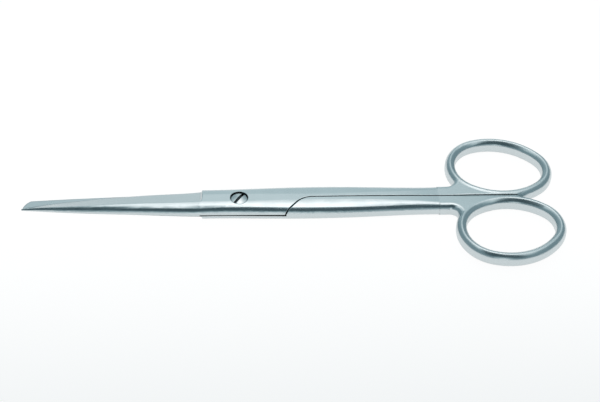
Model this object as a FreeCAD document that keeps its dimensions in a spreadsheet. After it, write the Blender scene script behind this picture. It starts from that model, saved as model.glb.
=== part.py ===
import FreeCAD, Part
import Sketcher
import math
import os

Vector = FreeCAD.Vector
Rotation = FreeCAD.Rotation
Placement = FreeCAD.Placement

# Straight operating scissors, one sharp and one blunt point, lying closed.
# The pivot axis is Z at the origin, the rings lie towards +X and the table is at Z = 0.
doc = FreeCAD.newDocument("operating_scissors")

# Driving dimensions in millimetres, angles in degrees
dimensions = {
    # forging
    "thickness": 5.4,
    "jointGap": 0.08,
    "partingGap": 0.32,
    # box and shank, stations from the step of the blade to the web
    "stepX": -11.3,
    "stepRun": 0.8,
    "stepHalfWidth": 5.25,
    "stepFlat": 1.5,
    "stepCorner": 2.2,
    "boxX": 4.0,
    "boxHalfWidth": 5.45,
    "boxFlat": 1.5,
    "boxCorner": 2.3,
    "neckX": 24.0,
    "neckHalfWidth": 5.9,
    "neckFlat": 1.2,
    "neckCorner": 2.2,
    "shankX": 42.0,
    "shankHalfWidth": 5.45,
    "shankFlat": 1.6,
    "shankCorner": 2.15,
    "shankThickness": 5.26,
    "handleHalfWidth": 5.05,
    "handleFlat": 2.7,
    "sideLand": 0.24,
    "jointWedge": 0.4,
    # blades
    "sharpTipX": -66.1,
    "bluntTipX": -65.9,
    "noseX": -62.8,
    "noseSpine": 2.85,
    "noseRadius": 4.8,
    # shoulder where one half crosses the other
    "crossX": 22.5,
    "crossRadius": 6.7,
    "crossSweep": 50.0,
    "counterRadius": 9.0,
    "counterSweep": 8.0,
    "shoulderGap": 0.45,
    "shoulderExit": 3.2,
    # finger ring, an oval of end arcs and side arcs along the middle of its tube
    "ringX": 82.27,
    "ringY": 13.35,
    "ringTilt": 7.8,
    "ringFrontCentre": 3.72,
    "ringFrontRadius": 11.55,
    "ringRearCentre": 5.93,
    "ringRearRadius": 9.45,
    "ringSideRadius": 18.7,
    "ringTubeHeight": 4.84,
    "ringCrest": 0.85,
    "ringBevel": 0.72,
    "ringBevelTilt": 34.0,
    "ringCorner": 1.2,
    "ringOuter": 2.1,
    "ringOuterTilt": 24.0,
    # web that joins the shank to the ring
    "crookAngle": 205.0,
    "webLead": 3.1,
    "webThickness": 4.5,
    "webRoll": 1.85,
    "webCrown": 0.02,
    "webTurnX": 86.0,
    "webRearX": 91.0,
    "webRearY": 2.9,
    # screw
    "headRadius": 2.6,
    "headRim": 0.5,
    "headDome": 0.4,
    "headRecess": 0.1,
    "countersinkAngle": 45.0,
    "screwRadius": 1.6,
    "screwClearance": 0.05,
    "threadClearance": 0.02,
    "headClearance": 0.15,
    "slotWidth": 0.95,
    "slotDepth": 0.95,
    "slotAngle": 54.0,
}

# Blade stations, evenly spaced from the step to the tip: cutting edge, spine and ridge
# across the blade, height of the ridge over the joint plane, radius of the back at the
# spine, slope of the back where it leaves the ridge
blade_words = ("Edge", "Spine", "Ridge", "Height", "Back", "Slope")
sharp_stations = (
    ("sharpA", (4.5, 4.75, 1.55, 2.4, 2.0, 2.0)),
    ("sharpB", (3.8, 4.1, 1.55, 2.2, 1.8, 5.0)),
    ("sharpC", (2.65, 3.5, 1.7, 1.9, 1.55, 10.0)),
    ("sharpD", (1.3, 2.65, 1.6, 1.4, 1.22, 15.0)),
    ("sharpTip", (-1.0, 1.6, 1.25, 0.45, 0.2, 15.0)),
)
blunt_stations = (
    ("bluntA", (4.7, 4.5, 1.55, 2.4, 2.0, 2.0)),
    ("bluntB", (3.95, 3.95, 1.55, 2.2, 1.8, 5.0)),
    ("bluntC", (3.2, 3.5, 1.6, 1.95, 1.6, 8.0)),
    ("bluntD", (2.3, 3.0, 1.45, 1.6, 1.2, 10.0)),
    ("bluntTip", (1.0, 2.35, 1.5, 1.0, 0.7, 12.0)),
)
for name, values in sharp_stations + blunt_stations:
    for word, value in zip(blade_words, values):
        dimensions[name + word] = value

sheet = doc.addObject("Spreadsheet::Sheet", "Sizes")
for row, (alias, value) in enumerate(dimensions.items(), start=1):
    sheet.set("A%d" % row, alias)
    sheet.set("B%d" % row, str(value))
    sheet.setAlias("B%d" % row, alias)
doc.recompute()


def sized(words):
    """Turn an expression over the names above into one over the sheet."""
    out, token = "", ""
    for letter in words + " ":
        if letter.isalnum() or letter == ".":
            token += letter
            continue
        out += "Sizes." + token if token in dimensions else token
        out += letter
        token = ""
    return out.strip()


def value_of(words):
    return float(sheet.evalExpression(sized(words)))


def new_sketch(body, name, role, height="0", x="0", y="0", turn="0", about="z"):
    """Sketch on an origin plane of its body, lifted, shifted and turned by expressions."""
    sketch = body.newObject("Sketcher::SketchObject", name)
    plane = next(f for f in body.Origin.OriginFeatures if f.Role == role)
    sketch.AttachmentSupport = (plane, [""])
    sketch.MapMode = "FlatFace"
    sketch.setExpression("AttachmentOffset.Base.x", sized(x))
    sketch.setExpression("AttachmentOffset.Base.y", sized(y))
    sketch.setExpression("AttachmentOffset.Base.z", sized(height))
    for axis in "xyz":
        sketch.setExpression("AttachmentOffset.Rotation.Axis." + axis, "1" if axis == about else "0")
    sketch.setExpression("AttachmentOffset.Rotation.Angle", sized(turn))
    return sketch


def bind(sketch, words, *parts):
    """Dimensional constraint whose value follows an expression over the sheet."""
    number = sketch.addConstraint(Sketcher.Constraint(*parts, value_of(words)))
    sketch.setExpression("Constraints[%d]" % number, sized(words))


def arc_between(start, end, radius, left):
    """Arc of the given radius from start to end, with its centre on the left of the way or not."""
    chord = end - start
    rise = math.sqrt(max(radius ** 2 - (chord.Length / 2) ** 2, 0.0))
    side = Vector(-chord.y, chord.x, 0).normalize()
    centre = (start + end) * 0.5 + side * (rise if left else -rise)
    first = math.atan2(start.y - centre.y, start.x - centre.x)
    last = math.atan2(end.y - centre.y, end.x - centre.x)
    circle = Part.Circle(centre, Vector(0, 0, 1), radius)
    return Part.ArcOfCircle(circle, first, last) if left else Part.ArcOfCircle(circle, last, first)


def arc_about(x, y, radius, start, end):
    return Part.ArcOfCircle(Part.Circle(Vector(x, y, 0), Vector(0, 0, 1), radius), start, end)


def closed_profile(sketch, corners, arcs=None):
    """Closed outline through corners given as expressions, with every size bound to the sheet.

    arcs maps the number of a side to its radius and whether its centre is left of the way.
    """
    arcs = arcs or {}
    points = [Vector(value_of(x), value_of(y), 0) for x, y in corners]
    sides = []
    for i, start in enumerate(points):
        end = points[(i + 1) % len(points)]
        if i in arcs:
            radius, left = arcs[i]
            number = sketch.addGeometry(arc_between(start, end, value_of(radius), left))
            bind(sketch, radius, "Radius", number)
            sides.append((number, 1, 2) if left else (number, 2, 1))
        else:
            sides.append((sketch.addGeometry(Part.LineSegment(start, end)), 1, 2))
    for i, (number, first, _) in enumerate(sides):
        before, _, last = sides[i - 1]
        sketch.addConstraint(Sketcher.Constraint("Coincident", before, last, number, first))
        bind(sketch, corners[i][0], "DistanceX", -1, 1, number, first)
        bind(sketch, corners[i][1], "DistanceY", -1, 1, number, first)
    return sketch


def add(body, kind, name, **properties):
    feature = body.newObject("PartDesign::" + kind, name)
    for key, value in properties.items():
        setattr(feature, key, value)
    doc.recompute()
    return feature


def crowned_side(side, lift, half_width, corner, start, height, slope="0"):
    """Bend between the two arcs that roll a side from the top (start, height) to its land.

    side is "" or "-" for the way across, lift the way up. The corner arc ends upright on
    the land, and the crown arc over it leaves the top at the given slope. Returns the bend
    and the radius of the crown.
    """
    land = "sideLand / 2"
    inner = "(%s - %s)" % (half_width, corner)
    over, up = "(%s - %s)" % (inner, start), "(%s - %s)" % (height, land)
    reach = "(%s * cos(%s) - %s * sin(%s))" % (up, slope, over, slope)
    crown = "((%s ^ 2 + %s ^ 2 - %s ^ 2) / (2 * (%s - %s)))" % (over, up, corner, reach, corner)
    run = "(%s + %s * sin(%s))" % (over, crown, slope)
    rise = "(%s * cos(%s) - %s)" % (crown, slope, up)
    share = "%s / (%s - %s)" % (corner, crown, corner)
    bend = (
        "%s(%s + %s * %s)" % (side, inner, run, share),
        "thickness / 2 %s (%s + %s * %s)" % (lift, land, rise, share),
    )
    return bend, crown


def bar_section(body, name, x, half_width, flat, corner, half_height):
    """Section of the closed scissors: flat top and bottom, crowned sides with a narrow land."""
    sketch = new_sketch(body, name, "YZ_Plane", x)
    corners, arcs = [], {}
    for side, lift in (("", "+"), ("-", "+"), ("-", "-"), ("", "-")):
        bend, crown = crowned_side(side, lift, half_width, corner, flat, half_height)
        land = (side + half_width, "thickness / 2 %s sideLand / 2" % lift)
        top = (side + flat, "thickness / 2 %s %s" % (lift, half_height))
        outwards = side + lift in ("-+", "-")
        quarter = [top, bend, land] if outwards else [land, bend, top]
        for number, radius in zip((0, 1), (crown, corner) if outwards else (corner, crown)):
            arcs[len(corners) + number] = (radius, True)
        corners += quarter
    return closed_profile(sketch, corners, arcs)


def blade_section(body, name, x, edge, spine, ridge, height, back, slope):
    """Section of a blade over the joint: flat face, ground bevel and rounded back."""
    sketch = new_sketch(body, name, "YZ_Plane", x)
    joint = "thickness / 2"
    face = joint + " + jointGap / 2"
    bend, crown = crowned_side("-", "+", spine, back, ridge, height, slope)
    corners = [
        ("-" + spine, face), (edge, face), (edge, joint + " + sideLand / 2"),
        ("-" + ridge, "%s + %s" % (joint, height)), bend,
        ("-" + spine, joint + " + sideLand / 2"),
    ]
    return closed_profile(sketch, corners, {3: (crown, True), 4: (back, True)})


def joint_wedge(body, name, x, half_width):
    """Section of the wedge that opens the joint towards the near side."""
    joint = "thickness / 2"
    corners = [("-%s + jointWedge" % half_width, joint), ("-%s - jointWedge" % half_width, joint),
               ("-%s - jointWedge" % half_width, joint + " + 2 * jointWedge")]
    return closed_profile(new_sketch(body, name, "YZ_Plane", x), corners)


def ring_oval(body, name):
    """Middle line of the ring tube: two end arcs and two side arcs, all tangent."""
    sketch = new_sketch(body, name, "XY_Plane", "thickness / 2", "ringX", "ringY", "-ringTilt")
    front, rear = -value_of("ringFrontCentre"), value_of("ringRearCentre")
    front_radius, rear_radius = value_of("ringFrontRadius"), value_of("ringRearRadius")
    side_radius = value_of("ringSideRadius")
    to_front, to_rear, span = side_radius - front_radius, side_radius - rear_radius, rear - front
    side_x = front + (to_front ** 2 - to_rear ** 2 + span ** 2) / (2 * span)
    side_y = math.sqrt(to_front ** 2 - (side_x - front) ** 2)
    front_angle = math.atan2(side_y, front - side_x)
    rear_angle = math.atan2(side_y, rear - side_x)

    around = [sketch.addGeometry(arc) for arc in (
        arc_about(rear, 0, rear_radius, 0, rear_angle),
        arc_about(side_x, -side_y, side_radius, rear_angle, front_angle),
        arc_about(front, 0, front_radius, front_angle, -front_angle),
        arc_about(side_x, side_y, side_radius, -front_angle, -rear_angle),
        arc_about(rear, 0, rear_radius, -rear_angle, 0),
    )]
    rear_upper, far_side, front_end, near_side, rear_lower = around
    for before, after in zip(around, around[1:]):
        sketch.addConstraint(Sketcher.Constraint("Tangent", before, 2, after, 1))
    sketch.addConstraint(Sketcher.Constraint("Coincident", rear_lower, 2, rear_upper, 1))
    sketch.addConstraint(Sketcher.Constraint("PointOnObject", rear_upper, 1, -1))
    for end_arc in (rear_upper, rear_lower, front_end):
        sketch.addConstraint(Sketcher.Constraint("PointOnObject", end_arc, 3, -1))
    bind(sketch, "ringRearCentre", "DistanceX", -1, 1, rear_upper, 3)
    bind(sketch, "-ringFrontCentre", "DistanceX", -1, 1, front_end, 3)
    bind(sketch, "ringRearRadius", "Radius", rear_upper)
    bind(sketch, "ringFrontRadius", "Radius", front_end)
    bind(sketch, "ringSideRadius", "Radius", far_side)
    bind(sketch, "ringSideRadius", "Radius", near_side)
    return sketch


inner_reach = (
    "(ringCrest * sin(ringBevelTilt) + ringBevel * cos(ringBevelTilt)"
    " + ringCorner * (1 - sin(ringBevelTilt)))"
)
outer_reach = "(ringCrest * sin(ringOuterTilt) + ringOuter * (1 - sin(ringOuterTilt)))"


def tube_section(body, name):
    """Section of the ring tube across its rear end: bevelled inside, round outside, upright flanks."""
    sketch = new_sketch(body, name, "XZ_Plane", "-ringY", "ringX", "thickness / 2", "-ringTilt", "y")
    middle = "ringRearCentre + ringRearRadius"
    crest_in = ("ringCrest * sin(ringBevelTilt)", "ringCrest * (1 - cos(ringBevelTilt))")
    crest_out = ("ringCrest * sin(ringOuterTilt)", "ringCrest * (1 - cos(ringOuterTilt))")
    bevel_end = (crest_in[0] + " + ringBevel * cos(ringBevelTilt)",
                 crest_in[1] + " + ringBevel * sin(ringBevelTilt)")
    inner_end = (inner_reach, bevel_end[1] + " + ringCorner * cos(ringBevelTilt)")
    outer_end = (outer_reach, crest_out[1] + " + ringOuter * cos(ringOuterTilt)")

    def at(side, lift, point):
        across, drop = point
        return ("%s %s (%s)" % (middle, side, across), "%s(ringTubeHeight / 2 - (%s))" % (lift, drop))

    corners = [at("+", "", outer_end), at("+", "", crest_out), at("-", "", crest_in)]
    corners += [at("-", "", bevel_end), at("-", "", inner_end)]
    corners += [at("-", "-", inner_end), at("-", "-", bevel_end)]
    corners += [at("-", "-", crest_in), at("+", "-", crest_out), at("+", "-", outer_end)]
    radii = {0: "ringOuter", 1: "ringCrest", 3: "ringCorner", 5: "ringCorner", 7: "ringCrest", 8: "ringOuter"}
    return closed_profile(sketch, corners, {side: (radius, True) for side, radius in radii.items()})


outer_radius = "(ringFrontRadius + %s)" % outer_reach
front_centre = ("(ringX - ringFrontCentre * cos(ringTilt))", "(ringY + ringFrontCentre * sin(ringTilt))")
crook_end = (
    "(%s + %s * cos(crookAngle))" % (front_centre[0], outer_radius),
    "(%s + %s * sin(crookAngle))" % (front_centre[1], outer_radius),
)
crook_radius = "((%s - handleHalfWidth) / (1 - sin(crookAngle)))" % crook_end[1]
crook_start = ("(%s + %s * cos(crookAngle))" % (crook_end[0], crook_radius), "handleHalfWidth")
handle_x = "(%s - webLead)" % crook_start[0]
root_x = "(stepX - stepRun)"


def web_outline(body, name):
    """Plan of the web: the side of the shank, the crook, then inwards past the ring's middle line."""
    sketch = new_sketch(body, name, "XY_Plane", "thickness / 2")
    corners = [
        (handle_x, "-handleHalfWidth"), ("webTurnX", "-handleHalfWidth"), ("webTurnX", "partingGap / 2"),
        ("webRearX", "webRearY"), ("webRearX", "ringY"),
        front_centre, crook_end, crook_start, (handle_x, "handleHalfWidth"),
    ]
    return closed_profile(sketch, corners, {6: (crook_radius, False)})


def shoulder_cut(body, name, height, side, widen, closing):
    """Plan of the S-shaped shoulder on the far side (1) or the near side (-1), with its closing.

    widen moves the wall off the middle of the gap between the two shoulders.
    """
    sketch = new_sketch(body, name, "XY_Plane", height)
    main = "(crossRadius + %s)" % widen
    counter = "(counterRadius - %s)" % widen
    rest = "(crossSweep - counterSweep)"
    centre_y = "(partingGap / 2 + %s * %s)" % (side, main)
    start = ("crossX", "partingGap / 2")
    bend = (
        "crossX - %s * sin(crossSweep)" % main,
        "%s - %s * %s * cos(crossSweep)" % (centre_y, side, main),
    )
    end = (
        "crossX - (%s + %s) * sin(crossSweep) + %s * sin%s" % (main, counter, counter, rest),
        "%s - %s * (%s + %s) * cos(crossSweep) + %s * %s * cos%s"
        % (centre_y, side, main, counter, side, counter, rest),
    )
    leave = ("%s - shoulderExit" % end[0], "%s + %s * shoulderExit" % (end[1], side))
    corners = [start, bend, end, leave] + closing(leave[0])
    near = side == "-1"
    return closed_profile(sketch, corners, {0: (main, near), 1: (counter, not near)})


screw_top = "thickness - headRecess"
rim_top = screw_top + " - headDome"
rim_bottom = rim_top + " - headRim"


def make_half(name, blade, tip_is_round):
    """One forging with its ring towards +Y, its box over the joint and its spine towards -Y."""
    body = doc.addObject("PartDesign::Body", name)
    body.Label = name
    joint = "thickness / 2"
    clear = "2 * neckHalfWidth"
    tip_x = blade[-1][0] + "X"

    # web between shank and ring, rolled along its outer side
    web = add(body, "Pad", name + "_web", Profile=web_outline(body, name + "_web_outline"), Midplane=True)
    web.setExpression("Length", sized("webThickness"))
    doc.recompute()
    outline_ends = [(value_of(x), value_of(y)) for x, y in
                    (crook_end, crook_start, (handle_x, "handleHalfWidth"))]

    def is_outer(edge):
        first, last = edge.Vertexes[0], edge.Vertexes[-1]
        if abs(first.Z - last.Z) > 1e-6:
            return False
        return all(any(math.hypot(v.X - x, v.Y - y) < 1e-4 for x, y in outline_ends) for v in (first, last))

    outer_edges = ["Edge%d" % n for n, e in enumerate(web.Shape.Edges, start=1) if is_outer(e)]
    rolled = add(body, "Fillet", name + "_web_roll", Base=(web, outer_edges),
                 Radius=value_of("webRoll"))
    rolled.setExpression("Radius", "Sizes.webRoll")

    # finger ring
    oval = ring_oval(body, name + "_ring_line")
    add(body, "Pocket", name + "_ring_opening", Profile=oval, Type="ThroughAll", Midplane=True)
    add(body, "AdditivePipe", name + "_ring", Profile=tube_section(body, name + "_ring_section"),
        Spine=(oval, ["Edge%d" % n for n in range(1, 6)]))

    # box and shank, as wide as the closed pair until the cuts below part them
    full = "thickness / 2"
    sections = [
        bar_section(body, name + "_step_section", root_x, "stepHalfWidth", "stepFlat", "stepCorner", full),
        bar_section(body, name + "_box_section", "boxX", "boxHalfWidth", "boxFlat", "boxCorner", full),
        bar_section(body, name + "_neck_section", "neckX", "neckHalfWidth", "neckFlat", "neckCorner",
                    full),
        bar_section(body, name + "_shank_section", "shankX", "shankHalfWidth", "shankFlat", "shankCorner",
                    "shankThickness / 2"),
        bar_section(body, name + "_handle_section", handle_x, "handleHalfWidth", "handleFlat",
                    "(webThickness / 2 - sideLand / 2 - webCrown)", "webThickness / 2"),
    ]
    add(body, "AdditiveLoft", name + "_bar", Profile=sections[0], Sections=sections[1:])

    # step at the root of the blade, run out with a round into the ground bevel
    tilt = "-atan((thickness - sideLand) / (2 * (stepHalfWidth + stepFlat)))"
    step = new_sketch(body, name + "_step_outline", "XZ_Plane", "stepFlat", "stepX", "thickness", tilt, "x")
    closed_profile(step, [("0", "thickness"), ("0", "stepRun"), ("-stepRun", "0"), ("-stepRun", "thickness")],
                   {1: ("stepRun", False)})
    add(body, "Pocket", name + "_step", Profile=step, Type="ThroughAll", Midplane=True)

    # the near side is cleared behind the shoulder, the joint side ahead of it
    reach = "ringX + 2 * ringFrontRadius"
    behind = shoulder_cut(
        body, name + "_near_shoulder", joint, "-1", "shoulderGap / 2",
        lambda x: [(x, "-" + clear), (reach, "-" + clear), (reach, "partingGap / 2")])
    add(body, "Pocket", name + "_parting", Profile=behind, Type="ThroughAll", Midplane=True)
    tip = tip_x + " - sideLand"
    ahead = shoulder_cut(
        body, name + "_far_shoulder", joint + " + jointGap / 2", "1", "-shoulderGap / 2",
        lambda x: [(x, clear), (tip, clear), (tip, "-" + clear), ("crossX", "-" + clear)])
    add(body, "Pocket", name + "_joint_seat", Profile=ahead, Type="ThroughAll")

    # thin wedge along the joint on the near side of the box
    wedges = [
        joint_wedge(body, name + "_step_wedge", root_x, "stepHalfWidth"),
        joint_wedge(body, name + "_box_wedge", "boxX", "boxHalfWidth"),
        joint_wedge(body, name + "_neck_wedge", "neckX", "neckHalfWidth"),
    ]
    add(body, "SubtractiveLoft", name + "_wedge", Profile=wedges[0], Sections=wedges[1:])

    # blade
    root = blade_section(body, name + "_root_section", root_x, "stepHalfWidth", "stepHalfWidth",
                         "stepFlat", "thickness / 2", "stepCorner", "0")
    stations = []
    for number, (station, _) in enumerate(blade, start=1):
        x = "%s + (%s - %s) * %d / %d" % (root_x, tip_x, root_x, number, len(blade))
        sizes = [station + word for word in blade_words]
        stations.append(blade_section(body, "%s_%s_section" % (name, station), x, *sizes))
    add(body, "AdditiveLoft", name + "_blade", Profile=root, Sections=stations)

    if tip_is_round:
        nose = new_sketch(body, name + "_nose_outline", "XY_Plane", joint)
        corners = [("noseX", "-noseSpine"), ("noseX", "-" + clear), (tip, "-" + clear),
                   (tip, "bluntTipEdge"), (tip_x, "bluntTipEdge")]
        closed_profile(nose, corners, {4: ("noseRadius", True)})
        add(body, "Pocket", name + "_nose", Profile=nose, Type="ThroughAll", Midplane=True)
    return body


def bored_half(body, corners):
    """Turn the screw's seat or thread hole out of a half, about the pivot axis."""
    sketch = closed_profile(new_sketch(body, body.Name + "_bore_outline", "XZ_Plane"), corners)
    add(body, "Groove", body.Name + "_bore", Profile=sketch, ReferenceAxis=(sketch, ["V_Axis"]), Angle=360.0)


upper = make_half("upper_half", sharp_stations, False)
lower = make_half("lower_half", blunt_stations, True)

over, under = "2 * thickness", "-thickness"
seat_radius, bore_radius = "headRadius + headClearance", "screwRadius + screwClearance"
seat_bottom = "%s - (%s - %s) / tan(countersinkAngle)" % (rim_bottom, seat_radius, "(%s)" % bore_radius)
bored_half(upper, [("0", under), (bore_radius, under), (bore_radius, seat_bottom),
                   (seat_radius, rim_bottom), (seat_radius, over), ("0", over)])
thread_radius = "screwRadius + threadClearance"
bored_half(lower, [("0", under), (thread_radius, under), (thread_radius, over), ("0", over)])
lower.Placement = Placement(Vector(0, 0, value_of("thickness")), Rotation(Vector(1, 0, 0), 180))
lower.setExpression("Placement.Base.z", "Sizes.thickness")

screw = doc.addObject("PartDesign::Body", "pivot_screw")
screw.Label = "pivot_screw"
cone_bottom = "%s - (headRadius - screwRadius) / tan(countersinkAngle)" % rim_bottom
turned = closed_profile(
    new_sketch(screw, "screw_outline", "XZ_Plane"),
    [("0", "0"), ("screwRadius", "0"), ("screwRadius", cone_bottom),
     ("headRadius", rim_bottom), ("headRadius", rim_top), ("0", screw_top)],
    {4: ("(headRadius ^ 2 + headDome ^ 2) / (2 * headDome)", True)})
add(screw, "Revolution", "screw_turned", Profile=turned, ReferenceAxis=(turned, ["V_Axis"]), Angle=360.0)
slot_outline = closed_profile(
    new_sketch(screw, "screw_slot_outline", "XY_Plane", screw_top, turn="slotAngle"),
    [("-2 * headRadius", "-slotWidth / 2"), ("2 * headRadius", "-slotWidth / 2"),
     ("2 * headRadius", "slotWidth / 2"), ("-2 * headRadius", "slotWidth / 2")])
slot = add(screw, "Pocket", "screw_slot", Profile=slot_outline)
slot.setExpression("Length", "Sizes.slotDepth")

doc.recompute()
for item in doc.Objects:
    if "Invalid" in item.State or "Error" in item.State:
        raise RuntimeError("%s failed: %s" % (item.Name, item.State))
os.makedirs("parts", exist_ok=True)
for body in (upper, lower, screw):
    if body.Shape.isNull() or not body.Shape.isValid() or len(body.Shape.Solids) != 1:
        raise RuntimeError("%s has no sound solid" % body.Label)
    body.Shape.exportStep("parts/%s.step" % body.Label)
    box = body.Shape.optimalBoundingBox()
    print(body.Label, "volume %.1f" % body.Shape.Volume, "x %.2f to %.2f" % (box.XMin, box.XMax),
          "y %.2f to %.2f" % (box.YMin, box.YMax), "z %.2f to %.2f" % (box.ZMin, box.ZMax))
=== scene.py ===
import math

import bpy
from mathutils import Matrix, Vector

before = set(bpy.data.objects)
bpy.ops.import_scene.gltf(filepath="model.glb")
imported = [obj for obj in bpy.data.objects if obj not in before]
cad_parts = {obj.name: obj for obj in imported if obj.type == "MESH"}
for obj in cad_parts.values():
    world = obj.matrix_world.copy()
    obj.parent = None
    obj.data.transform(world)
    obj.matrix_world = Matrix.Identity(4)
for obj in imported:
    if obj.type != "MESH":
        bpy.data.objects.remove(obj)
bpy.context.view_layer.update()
print("frame loaded:", sorted(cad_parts))


# node helpers, in which a value is another node's output or a plain number

def newNode(tree, kind, place, **settings):
    node = tree.nodes.new(kind)
    node.location = place
    for key, value in settings.items():
        setattr(node, key, value)
    return node


def plug(tree, value, socket):
    if isinstance(value, (int, float)):
        socket.default_value = value
    else:
        tree.links.new(value, socket)


def newMath(tree, place, operation, *values):
    node = newNode(tree, "ShaderNodeMath", place, operation=operation)
    for value, socket in zip(values, node.inputs):
        plug(tree, value, socket)
    return node.outputs[0]


def newBlend(tree, place, share, low, high):
    blend = newNode(tree, "ShaderNodeMix", place, data_type="FLOAT")
    for value, i in ((share, 0), (low, 2), (high, 3)):
        plug(tree, value, blend.inputs[i])
    return blend.outputs[0]


def newRange(tree, place, value, span, to=(0, 1), kind="LINEAR"):
    node = newNode(tree, "ShaderNodeMapRange", place, interpolation_type=kind)
    for name, limit in zip(("From Min", "From Max", "To Min", "To Max"), (*span, *to)):
        node.inputs[name].default_value = limit
    plug(tree, value, node.inputs["Value"])
    return node.outputs["Result"]


def newFade(tree, place, value, span):
    return newRange(tree, place, value, span, kind="SMOOTHSTEP")


def newRamp(tree, place, value, stops):
    ramp = newNode(tree, "ShaderNodeValToRGB", place)
    for i, (at, colour) in enumerate(stops):
        stop = ramp.color_ramp.elements[i] if i < 2 else ramp.color_ramp.elements.new(at)
        stop.position = at
        stop.color = colour
    plug(tree, value, ramp.inputs["Fac"])
    return ramp.outputs["Color"]


def newNoise(tree, place, vector, scale, detail):
    noise = newNode(tree, "ShaderNodeTexNoise", place)
    noise.inputs["Scale"].default_value = scale
    noise.inputs["Detail"].default_value = detail
    tree.links.new(vector, noise.inputs["Vector"])
    return noise.outputs["Fac"]


def newBump(tree, place, height, normal, strength, depth):
    bump = newNode(tree, "ShaderNodeBump", place)
    bump.inputs["Strength"].default_value = strength
    bump.inputs["Distance"].default_value = depth
    tree.links.new(height, bump.inputs["Height"])
    tree.links.new(normal, bump.inputs["Normal"])
    return bump.outputs["Normal"]


def newMaterial(name):
    mat = bpy.data.materials.new(name)
    mat.use_nodes = True
    tree = mat.node_tree
    tree.nodes.clear()
    out = newNode(tree, "ShaderNodeOutputMaterial", (900, 0))
    return mat, tree, out


# steel of the two halves

steel = {
    "colour": (0.68, 0.74, 0.755, 1),
    "paintedShade": (0.004, 0.012, 0.015, 1),  # painted shade colour deep in the joints and slots
    "paintedShadeReach": 0.0007,
    "paintedShadeSpan": (0.6, 0.95),           # share of open sky between painted shade and clean steel
    "paintedShadeSamples": 16,
    "roughness": (0.2, 0.27),           # across the cloudy variation
    "cloudScale": 220,                  # per metre
    "cloudDetail": 3,
    "cloudSpan": (0.3, 0.7),            # part of the noise that is used
    "grainScale": (60, 4000, 4000),     # long along the instrument, fine across
    "grainDetail": 2,
    "grainStrength": 0.6,
    "grainDepth": 0.000003,
    "groundAt": 0.0027,                 # height of the inner faces, which are ground crosswise
    "groundNear": 0.0002,
    "groundScale": (2600, 120, 120),
    "groundRoughness": 0.06,            # added on the ground faces
    "anisotropy": 0.3,
    "edgeSamples": 8,
    "edgeRadius": 0.0003,               # sharp edges broken by polishing
    "ringEdgeRadius": 0.0009,           # the finger rings are polished rounder
    "ringsFrom": (0.064, 0.070),        # where along the instrument the rings begin
}


def addPaintedShade(tree, spec):
    # painted shade: joints and slots are darkened by how closed in they are, open faces keep the clean
    # colour
    sky = newNode(tree, "ShaderNodeAmbientOcclusion", (-900, 550), samples=spec["paintedShadeSamples"])
    sky.inputs["Distance"].default_value = spec["paintedShadeReach"]
    share = newFade(tree, (-600, 550), sky.outputs["AO"], spec["paintedShadeSpan"])
    return newRamp(tree, (-300, 550), share, ((0, spec["paintedShade"]), (1, spec["colour"])))


def breakEdges(tree, spec, radius):
    edge = newNode(tree, "ShaderNodeBevel", (-600, -450), samples=spec["edgeSamples"])
    plug(tree, radius, edge.inputs["Radius"])
    return edge.outputs["Normal"]


def makeSteel(name, spec):
    mat, tree, out = newMaterial(name)
    link = tree.links.new
    coords = newNode(tree, "ShaderNodeTexCoord", (-1300, 0))
    spot = newNode(tree, "ShaderNodeSeparateXYZ", (-1100, 450))
    link(coords.outputs["Object"], spot.inputs["Vector"])
    facing = newNode(tree, "ShaderNodeSeparateXYZ", (-1100, 350))
    link(coords.outputs["Normal"], facing.inputs["Vector"])
    # flat faces on the joint plane are the ground ones
    level = newMath(tree, (-900, 450), "COMPARE", spot.outputs["Z"], spec["groundAt"], spec["groundNear"])
    flat = newMath(tree, (-900, 350), "ABSOLUTE", facing.outputs["Z"])
    ground = newMath(tree, (-700, 400), "MULTIPLY", level, flat)
    # roughness
    clouds = newNoise(tree, (-800, 200), coords.outputs["Object"], spec["cloudScale"], spec["cloudDetail"])
    gloss = newRange(tree, (-500, 200), clouds, spec["cloudSpan"], spec["roughness"])
    duller = newMath(tree, (-200, 250), "MULTIPLY_ADD", ground, spec["groundRoughness"], gloss)
    # fine marks, along the instrument on the outside and crosswise on the ground faces
    grains = []
    for i, scale in enumerate((spec["grainScale"], spec["groundScale"])):
        down = -250 - i * 300
        stretch = newNode(tree, "ShaderNodeMapping", (-1050, down))
        stretch.inputs["Scale"].default_value = scale
        link(coords.outputs["Object"], stretch.inputs["Vector"])
        grains.append(newNoise(tree, (-800, down), stretch.outputs["Vector"], 1, spec["grainDetail"]))
    marks = newBlend(tree, (-500, -250), ground, *grains)
    radius = newRange(tree, (-800, -950), spot.outputs["X"], spec["ringsFrom"],
                      (spec["edgeRadius"], spec["ringEdgeRadius"]))
    edges = breakEdges(tree, spec, radius)
    normal = newBump(tree, (-300, -250), marks, edges, spec["grainStrength"], spec["grainDepth"])
    shader = newNode(tree, "ShaderNodeBsdfPrincipled", (300, 0))
    shader.inputs["Metallic"].default_value = 1
    shader.inputs["Anisotropic"].default_value = spec["anisotropy"]
    # base colour carries painted shade in joints and slots
    link(addPaintedShade(tree, spec), shader.inputs["Base Color"])
    link(duller, shader.inputs["Roughness"])
    link(normal, shader.inputs["Normal"])
    link(shader.outputs["BSDF"], out.inputs["Surface"])
    return mat


# steel of the screw, turned, so its marks run round the pivot axis

screwSteel = {
    "colour": (0.70, 0.74, 0.75, 1),
    # painted shade in the slot and other closed-in places of the screw
    "paintedShade": (0.02, 0.026, 0.03, 1),
    "paintedShadeReach": 0.0011,
    "paintedShadeSpan": (0.3, 0.85),
    "paintedShadeSamples": 16,
    "roughness": 0.24,
    "turnScale": 130,                   # of the wave that runs round the axis
    "turnDistortion": 1.5,
    "turnDetail": 2,
    "turnStrength": 0.5,
    "turnDepth": 0.000004,
    "edgeSamples": 8,
    "edgeRadius": 0.00012,
}


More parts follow.
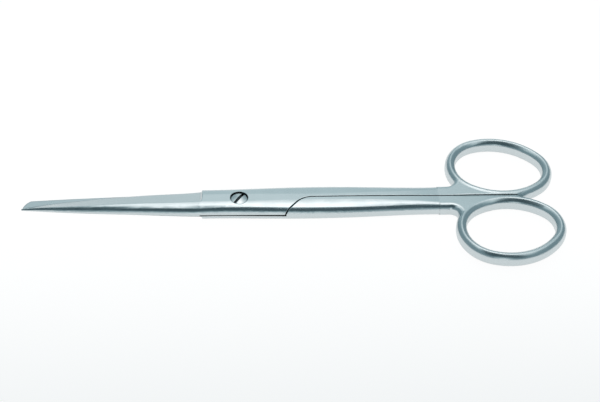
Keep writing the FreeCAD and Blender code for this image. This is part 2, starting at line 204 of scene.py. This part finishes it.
def makeScrewSteel(name, spec):
    mat, tree, out = newMaterial(name)
    link = tree.links.new
    coords = newNode(tree, "ShaderNodeTexCoord", (-1100, -200))
    rings = newNode(tree, "ShaderNodeTexWave", (-700, -200), wave_type="RINGS", rings_direction="Z")
    rings.inputs["Scale"].default_value = spec["turnScale"]
    rings.inputs["Distortion"].default_value = spec["turnDistortion"]
    rings.inputs["Detail"].default_value = spec["turnDetail"]
    link(coords.outputs["Object"], rings.inputs["Vector"])
    edges = breakEdges(tree, spec, spec["edgeRadius"])
    normal = newBump(tree, (-300, -200), rings.outputs["Fac"], edges,
                     spec["turnStrength"], spec["turnDepth"])
    shader = newNode(tree, "ShaderNodeBsdfPrincipled", (300, 0))
    shader.inputs["Metallic"].default_value = 1
    shader.inputs["Roughness"].default_value = spec["roughness"]
    # base colour carries painted shade in the slot
    link(addPaintedShade(tree, spec), shader.inputs["Base Color"])
    link(normal, shader.inputs["Normal"])
    link(shader.outputs["BSDF"], out.inputs["Surface"])
    return mat


satinSteel = makeSteel("satinSteel", steel)
turnedSteel = makeScrewSteel("turnedSteel", screwSteel)
for name, mat in (("upper_half", satinSteel), ("lower_half", satinSteel), ("pivot_screw", turnedSteel)):
    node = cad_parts[name]
    node.data.materials.clear()
    node.data.materials.append(mat)
print("steel on")


# table, pale and almost shadowless

table = {
    "size": 8.0,
    "drop": 0.00002,
    "colour": (0.95, 0.96, 0.96, 1),
    "glow": 0.9,                        # share of even white that the eye sees, the rest takes shadow
    "mirrored": 0.8,                    # the steel mirrors this share of it
    "far": (1.08, 1.08, 1.08, 1),
    "near": (0.83, 0.865, 0.875, 1),    # painted fall-off of light: the white glow dims a little towards the viewer
    "fallSpan": (-0.15, 0.0),
}


def makeTable(spec):
    bpy.ops.mesh.primitive_plane_add(size=spec["size"], location=(0, 0, -spec["drop"]))
    floor = bpy.context.object
    floor.name = "tableTop"
    mat, tree, out = newMaterial("tableWhite")
    link = tree.links.new
    matt = newNode(tree, "ShaderNodeBsdfDiffuse", (0, 100))
    matt.inputs["Color"].default_value = spec["colour"]
    coords = newNode(tree, "ShaderNodeTexCoord", (-900, -100))
    axes = newNode(tree, "ShaderNodeSeparateXYZ", (-700, -100))
    link(coords.outputs["Object"], axes.inputs["Vector"])
    # painted fall-off of light, darker towards the viewer
    depth = newFade(tree, (-500, -100), axes.outputs["Y"], spec["fallSpan"])
    glow = newNode(tree, "ShaderNodeEmission", (0, -100))
    link(newRamp(tree, (-300, -100), depth, ((0, spec["near"]), (1, spec["far"]))), glow.inputs["Color"])
    path = newNode(tree, "ShaderNodeLightPath", (-600, 300))
    mirrored = newMath(tree, (-450, 200), "MULTIPLY", path.outputs["Is Glossy Ray"], spec["mirrored"])
    seen = newMath(tree, (-300, 300), "MAXIMUM", path.outputs["Is Camera Ray"], mirrored)
    mix = newNode(tree, "ShaderNodeMixShader", (300, 0))
    link(newMath(tree, (-100, 300), "MULTIPLY", seen, spec["glow"]), mix.inputs["Fac"])
    link(matt.outputs["BSDF"], mix.inputs[1])
    link(glow.outputs["Emission"], mix.inputs[2])
    link(mix.outputs["Shader"], out.inputs["Surface"])
    floor.data.materials.append(mat)


makeTable(table)


# studio: a pale wall behind, a bright strip overhead, a dark card above the camera, a window under it

studio = {
    # levels in the middle and towards the ends of the instrument
    "wall": (0.74, 0.45),
    "strip": (1.85, 1.0),
    "window": (1.2, 0.35),
    "card": 0.1,
    "offset": 0.04,                     # wall and strip stand this much to the right, the window to the left
    "middleSpan": (0.05, 0.22),         # sideways part of the direction, from middle to ends
    # degrees over the instrument, from the far horizon (0) over the top (90) to the near horizon (180)
    "stripStart": (36, 76),
    "stripEnd": (68, 94),
    "bow": 150,                         # how much the strip's near edge bows towards the camera
    "bowAt": -0.08,                     # where it bows least
    "windowStart": (132, 178),
    "far": 0.34,                        # level of what is far off past both ends
    "farSpan": (0.4, 0.64),
    "tint": ((0.0, (0.52, 0.86, 1.0, 1)), (0.5, (0.76, 0.95, 1.0, 1)), (1.0, (1.0, 1.0, 1.0, 1))),
    "tintSpan": (0.05, 1.2),            # the dimmer, the bluer
}


def makeStudio(spec):
    world = bpy.data.worlds.new("studio")
    bpy.context.scene.world = world
    world.use_nodes = True
    tree = world.node_tree
    tree.nodes.clear()
    link = tree.links.new
    coords = newNode(tree, "ShaderNodeTexCoord", (-1600, 0))
    axes = newNode(tree, "ShaderNodeSeparateXYZ", (-1400, 0))
    link(coords.outputs["Generated"], axes.inputs["Vector"])
    angle = newMath(tree, (-1200, 100), "ARCTAN2", axes.outputs["Z"], axes.outputs["Y"])
    turn = newMath(tree, (-1000, 100), "DEGREES", angle)
    fromRight = newMath(tree, (-1200, -300), "SUBTRACT", axes.outputs["X"], spec["offset"])
    fromLeft = newMath(tree, (-1200, -500), "ADD", axes.outputs["X"], spec["offset"])
    level = {}
    for i, (part, away) in enumerate((("wall", fromRight), ("strip", fromRight), ("window", fromLeft))):
        ends = newFade(tree, (-900, 600 - i * 200), newMath(tree, (-1050, 600 - i * 200), "ABSOLUTE", away),
                       spec["middleSpan"])
        level[part] = newBlend(tree, (-700, 600 - i * 200), ends, *spec[part])
    fromBow = newMath(tree, (-1200, -700), "SUBTRACT", axes.outputs["X"], spec["bowAt"])
    bow = newMath(tree, (-1000, -700), "MULTIPLY", fromBow, fromBow)
    bowed = newMath(tree, (-700, -500), "MULTIPLY_ADD", bow, -spec["bow"], turn)
    behind = newBlend(tree, (-300, 500), newFade(tree, (-500, 500), turn, spec["stripStart"]),
                      level["wall"], level["strip"])
    ahead = newBlend(tree, (-300, 200), newFade(tree, (-500, 200), turn, spec["windowStart"]),
                     spec["card"], level["window"])
    total = newBlend(tree, (0, 400), newFade(tree, (-300, -100), bowed, spec["stripEnd"]), behind, ahead)
    # far past both ends it is even
    sideways = newMath(tree, (-300, -300), "ABSOLUTE", axes.outputs["X"])
    past = newFade(tree, (0, -100), sideways, spec["farSpan"])
    total = newBlend(tree, (300, 400), past, total, spec["far"])
    sky = newNode(tree, "ShaderNodeBackground", (900, 100))
    tint = newRange(tree, (450, 100), total, spec["tintSpan"])
    link(newRamp(tree, (600, 100), tint, spec["tint"]), sky.inputs["Color"])
    link(total, sky.inputs["Strength"])
    # the camera itself sees plain white
    plain = newNode(tree, "ShaderNodeBackground", (900, -100))
    plain.inputs["Color"].default_value = (1, 1, 1, 1)
    path = newNode(tree, "ShaderNodeLightPath", (900, 400))
    mix = newNode(tree, "ShaderNodeMixShader", (1100, 0))
    link(path.outputs["Is Camera Ray"], mix.inputs["Fac"])
    link(sky.outputs["Background"], mix.inputs[1])
    link(plain.outputs["Background"], mix.inputs[2])
    out = newNode(tree, "ShaderNodeOutputWorld", (1300, 0))
    link(mix.outputs["Shader"], out.inputs["Surface"])


makeStudio(studio)


# camera

shot = {
    "target": (0.0190, 0.00368, 0),
    "distance": 0.4378,
    "azimuth": -4.485,
    "elevation": 43.5,
    "roll": 2.215,
    "lens": 84.4,
    "sensor": 36,
    "clipStart": 0.01,
}


def makeCamera(spec):
    azimuth, elevation, roll = (math.radians(spec[k]) for k in ("azimuth", "elevation", "roll"))
    flat = math.cos(elevation)
    back = Vector((math.sin(azimuth) * flat, -math.cos(azimuth) * flat, math.sin(elevation)))
    level = Vector((math.cos(azimuth), math.sin(azimuth), 0))
    up = back.cross(level)
    right = level * math.cos(roll) + up * math.sin(roll)
    up = back.cross(right)
    data = bpy.data.cameras.new("camera")
    data.lens = spec["lens"]
    data.sensor_width = spec["sensor"]
    data.clip_start = spec["clipStart"]
    cam = bpy.data.objects.new("camera", data)
    bpy.context.scene.collection.objects.link(cam)
    turn = Matrix((right, up, back)).transposed().to_4x4()
    cam.matrix_world = Matrix.Translation(Vector(spec["target"]) + back * spec["distance"]) @ turn
    bpy.context.scene.camera = cam


makeCamera(shot)
bpy.context.scene.view_settings.view_transform = "Standard"
print("camera, table and studio set")
